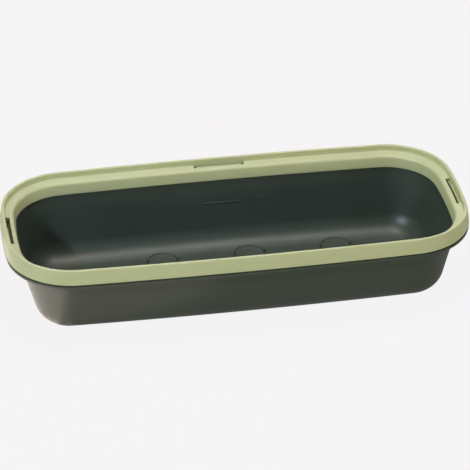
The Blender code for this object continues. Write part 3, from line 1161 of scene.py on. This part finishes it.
    def dress(self) -> None:
        """Give the trough its plastic, its ribs a browner copy of it with painted warm light, and all of them their
        body.
        """
        carry(self.made, self.finish.build(), "tray", "tray_plastic", "tray_body")
        # The ribs' copy of the olive is browner only to paint the warm light that reaches them through the frame
        painted_warm_light = self.upstand_painted_light_finish.build()
        for made in self.upstands:
            carry(made, painted_warm_light, "tray", "tray_plastic", "tray_body")


@dataclass
class DrainPlug:
    """Round push-in plug with a ringed head and a short hollow stem."""

    plan: TrayPlan
    material: bpy.types.Material
    word: str
    place: tuple[float, float]
    head_drop: float = 0.0001
    head_round: float = 0.0004
    ring_depth: float = 0.0004
    stem_foot: float = 0.0006
    stem_round: float = 0.0005
    stem_inner_radius: float = 0.0078
    chamfer: float = 0.0002
    edge_round: float = 0.00008
    made: bpy.types.Object | None = None

    def profile(self) -> Profile:
        """Half cross-section from the middle of the head's top to the hollow under it.

        Returns:
            Radii and heights.
        """
        plan = self.plan
        top = plan.seat_top - self.head_drop
        low, land = top - self.ring_depth, top - self.head_drop
        head, stem, hollow = plan.head_radius, plan.hole_radius - plan.plug_gap, self.stem_inner_radius
        under = plan.seat_top - plan.head_thickness
        # Shallow rings in the head's top, at shares of its radius
        rings = [(0.10, low), (0.30, low), (0.36, land), (0.58, land),
                 (0.62, low), (0.68, low), (0.72, land), (0.90, top)]
        return [
            *((head * share, z) for share, z in rings),
            *round_corner((head - self.head_round, top - self.head_round), self.head_round, 90, 0, 4),
            (head, under + self.chamfer),
            (head - self.chamfer, under),
            (stem, under),
            (stem, self.stem_foot + self.stem_round),
            (stem - self.stem_round, self.stem_foot),
            (hollow, self.stem_foot),
            (hollow, under + self.chamfer),
        ]

    def build(self) -> None:
        """Turn the plug."""
        self.made = turned(f"plug_{self.word}", self.place, self.profile())
        soften(self.made, self.edge_round, 25.0)

    def dress(self) -> None:
        """Give the plug its plastic and its body."""
        carry(self.made, self.material, f"plug_{self.word}", "plug_plastic", f"drain_plug_{self.word}")


# ---------------------------------------------------------------- studio


def direction(azimuth: float, elevation: float) -> Vector:
    """Unit vector from the tray to a place in the studio.

    Args:
        azimuth: Degrees to the right of the front.
        elevation: Degrees above the table.

    Returns:
        The vector.
    """
    a, e = math.radians(azimuth), math.radians(elevation)
    return Vector((math.sin(a) * math.cos(e), -math.cos(a) * math.cos(e), math.sin(e)))


def area_light(name: str, shape: str, size: tuple[float, float], watts: float, colour: str) -> bpy.types.Object:
    """Make one soft light at the origin that shines down.

    Args:
        name: Name of the light.
        shape: Blender's name for its outline.
        size: Width and height in metres.
        watts: Its power.
        colour: Its colour as an sRGB hex code.

    Returns:
        The light.
    """
    lamp = bpy.data.lights.new(name, "AREA")
    lamp.shape = shape
    lamp.size, lamp.size_y = size
    lamp.energy = watts
    lamp.color = linear_colour(colour)[:3]
    made = bpy.data.objects.new(name, lamp)
    bpy.context.scene.collection.objects.link(made)
    return made


@dataclass(frozen=True)
class Softbox:
    """One soft light that looks at the tray. Place and size in metres, angles in degrees."""

    name: str
    azimuth: float
    elevation: float
    distance: float
    size: tuple[float, float]
    watts: float
    colour: str = "#ffffff"
    aim: tuple[float, float, float] = (0.0, 0.0, 0.05)
    gleam_only: bool = False
    matt_only: bool = False
    spread: float = 180.0

    def build(self) -> None:
        """Make the light, turned towards its aim."""
        made = area_light(self.name, "RECTANGLE", self.size, self.watts, self.colour)
        made.data.spread = math.radians(self.spread)
        back = direction(self.azimuth, self.elevation)
        made.location = Vector(self.aim) + self.distance * back
        made.rotation_mode = "QUATERNION"
        made.rotation_quaternion = back.to_track_quat("Z", "Y")
        made.visible_diffuse = not self.gleam_only
        made.visible_glossy = not self.matt_only


@dataclass(frozen=True)
class GlowCard:
    """Round patch of bright table beside the tray that only its gloss mirrors. Lengths in metres."""

    name: str
    place: tuple[float, float]
    size: tuple[float, float]
    watts: float
    colour: str
    height: float = 0.0012

    def build(self) -> None:
        """Make the light, which faces up and isn't seen itself."""
        made = area_light(self.name, "ELLIPSE", self.size, self.watts, self.colour)
        made.location = (*self.place, self.height)
        made.rotation_euler = (math.pi, 0, 0)
        made.visible_camera = made.visible_diffuse = False


@dataclass
class Studio:
    """Camera, pale floor and soft lights. Lengths in metres, angles in degrees."""

    azimuth: float = -9.87
    elevation: float = 31.7
    roll: float = 0.001
    distance: float = 2.8
    focal_dots: float = 2605.816
    image_dots: float = 470.0
    sensor_mm: float = 36.0
    clip: tuple[float, float] = (0.05, 60.0)
    shift_right: float = -0.000785
    shift_up: float = 0.01823
    aim_height: float = 0.0791
    sky: str = "#fff9c1"
    sky_glow: float = 0.0
    horizon_glow: float = 3.1
    horizon_pale: float = 0.10
    horizon_dim: float = 0.26
    floor_half: float = 12.0
    floor_steps: int = 8
    table_bounce: float = 0.38
    bounce_matt_share: float = 0.10
    bounce_height: float = -0.0005
    boxes: tuple[Softbox, ...] = (
        Softbox("key_lamp", -51.0, 33.8, 1.52, (0.08, 0.08), 10.6, "#cbe2f7"),
        Softbox("key_gleam", -51.0, 33.8, 1.52, (0.08, 0.08), 15.0, "#f2f5ff", gleam_only=True),
        Softbox("back_gleam", 170.0, 33.0, 2.0, (1.2, 0.5), 8.0, gleam_only=True),
        Softbox("overhead_back_gleam", 180.0, 67.0, 1.8, (1.0, 0.3), 7.0, "#fff4ee", gleam_only=True),
        Softbox("overhead_middle", 0.0, 89.9, 1.8, (0.5, 0.25), 8.6, "#fff4f8"),
        Softbox("overhead_right", 0.0, 89.9, 1.8, (0.5, 0.25), 6.9, "#fff0e8", (0.25, 0.0, 0.05)),
        Softbox("overhead_front_right", 0.0, 80.0, 1.8, (0.5, 0.25), 4.9, "#fffef3", (0.25, 0.0, 0.05)),
        Softbox("overhead_back_left", 180.0, 80.0, 1.8, (0.5, 0.25), 4.3, "#fffccf", (-0.25, 0.0, 0.05)),
        Softbox("left_high_box", -85.0, 50.0, 1.8, (0.5, 0.4), 0.095, "#fffaf0", (0.25, 0.0, 0.05),
                matt_only=True, spread=30.0),
        Softbox("low_front_box", 22.0, 7.5, 2.2, (0.9, 0.25), 5.5, "#ffecd2"),
        Softbox("cool_front_box", -20.0, 20.0, 1.8, (0.6, 0.4), 1.5, "#6080ff"),
        Softbox("overhead_far_right", 90.0, 68.0, 1.8, (0.5, 0.5), 2.4, "#e6e4ff"),
        Softbox("right_side_box", 90.0, 40.0, 2.2, (0.7, 0.7), 4.6, "#4b8cff", matt_only=True),
    )
    cards: tuple[GlowCard, ...] = (
        GlowCard("table_gleam_left_end", (-0.300, -0.03), (0.20, 0.33), 0.42, "#ffeae2"),
        GlowCard("table_gleam_left_wide", (-0.43, -0.02), (0.5, 0.5), 0.36, "#ffdcd2"),
        GlowCard("table_gleam_front_left", (-0.19, -0.20), (0.42, 0.24), 0.165, "#ffd6c0"),
    )

    def place_camera(self) -> None:
        """Put the camera where the photograph was taken from."""
        back = direction(self.azimuth, self.elevation)
        a, r = math.radians(self.azimuth), math.radians(self.roll)
        level_right = Vector((math.cos(a), math.sin(a), 0))
        upright = back.cross(level_right)
        right = math.cos(r) * level_right + math.sin(r) * upright
        up = -math.sin(r) * level_right + math.cos(r) * upright
        lens = bpy.data.cameras.new("camera")
        lens.sensor_width = self.sensor_mm
        lens.lens = self.sensor_mm * self.focal_dots / self.image_dots
        lens.clip_start, lens.clip_end = self.clip
        made = bpy.data.objects.new("camera", lens)
        where = self.distance * back - self.shift_right * right - self.shift_up * up + Vector((0, 0, self.aim_height))
        made.matrix_world = Matrix.Translation(where) @ Matrix((right, up, back)).transposed().to_4x4()
        bpy.context.scene.collection.objects.link(made)
        bpy.context.scene.camera = made

    def lay_sheet(self, name: str, height: float, material: bpy.types.Material) -> bpy.types.Object:
        """Lay one square sheet around the tray.

        Args:
            name: Name of the sheet.
            height: Height of the sheet.
            material: What it is made of.

        Returns:
            The sheet, marked as studio.
        """
        skin = Skin(name)
        places = [self.floor_half * (2 * k / self.floor_steps - 1) for k in range(self.floor_steps + 1)]
        rows = [skin.loop(Vector((x, y, height)) for x in places) for y in places]
        for near, far in zip(rows, rows[1:]):
            # The last segment would join a row's end to its start, so it gets no face
            skin.bridge(near, far, lambda i: i < self.floor_steps)
        made = skin.finish()
        made.data.materials.append(material)
        return made

    def lay_floor(self) -> None:
        """Lay the pale table, and under it the dimmer sheet whose light reaches the tray."""
        table = self.lay_sheet("studio_floor", 0.0, OpalFloor().build())
        table.visible_diffuse = table.visible_glossy = table.visible_shadow = False
        dimmed = OpalFloor("opal_acrylic_dimmed", glow=self.table_bounce, matt_share=self.bounce_matt_share)
        bounce = self.lay_sheet("studio_floor_bounce", self.bounce_height, dimmed.build())
        bounce.visible_camera = False

    def hang_lights(self) -> None:
        """Surroundings that are pale near the horizon and dim above, and the soft lights."""
        world = bpy.data.worlds.new("studio_surroundings")
        bpy.context.scene.world = world
        world.use_nodes = True
        tree = world.node_tree
        tree.nodes.clear()
        place = add_node(tree, "ShaderNodeTexCoord").outputs["Generated"]
        parts = add_node(tree, "ShaderNodeSeparateXYZ", {"Vector": place})
        fade = add_node(tree, "ShaderNodeMapRange", {
            "Value": parts.outputs["Z"], "From Min": self.horizon_pale, "From Max": self.horizon_dim,
            "To Min": self.horizon_glow, "To Max": self.sky_glow}, interpolation_type="SMOOTHSTEP")
        glow = add_node(tree, "ShaderNodeBackground", {
            "Color": linear_colour(self.sky), "Strength": fade.outputs["Result"]})
        add_node(tree, "ShaderNodeOutputWorld", {"Surface": glow.outputs["Background"]})
        for light in (*self.boxes, *self.cards):
            light.build()

    def build(self) -> None:
        """Set up the whole studio."""
        self.place_camera()
        self.lay_floor()
        self.hang_lights()
        bpy.context.scene.view_settings.view_transform = "Standard"


DARK_OLIVE = MouldedPolypropylene(
    "moulded_polypropylene_dark_olive", "#333d34", "#374138", 0.45, gloss_level=0.4)
# Pale plastic lets a little light in, which rounds off its edges and brightens its thin walls
PALE_GREEN = MouldedPolypropylene(
    "moulded_polypropylene_pale_green", "#acb18a", "#afb48d", 0.42, gloss_level=0.45, glow_share=0.35)
# Painted light: a browner, warmer copy of the dark olive for the ribs under the slots, standing in for the warm light
# that reaches them through the pale frame
OLIVE_PAINTED_WARM_LIGHT = MouldedPolypropylene(
    "moulded_polypropylene_painted_warm_light", "#3f3822", "#433c26", 0.50, gloss_level=0.25)
PLUG_OLIVE = MouldedPolypropylene(
    "moulded_polypropylene_plug_olive", "#373e36", "#3b423a", 0.45, gloss_level=0.42)


def main() -> None:
    """Build, dress and report every piece in order."""
    logging.basicConfig(level=logging.INFO, format="%(name)s: %(message)s")
    plan = TrayPlan()
    plug_material = PLUG_OLIVE.build()
    parts: list[Any] = [Trough(plan, DARK_OLIVE, OLIVE_PAINTED_WARM_LIGHT), RimFrame(plan, PALE_GREEN)]
    parts += [DrainPlug(plan, plug_material, word, place) for word, place in plan.drains().items()]
    for part in parts:
        part.build()
        part.dress()
    Studio().build()


if __name__ == "__main__":
    main()
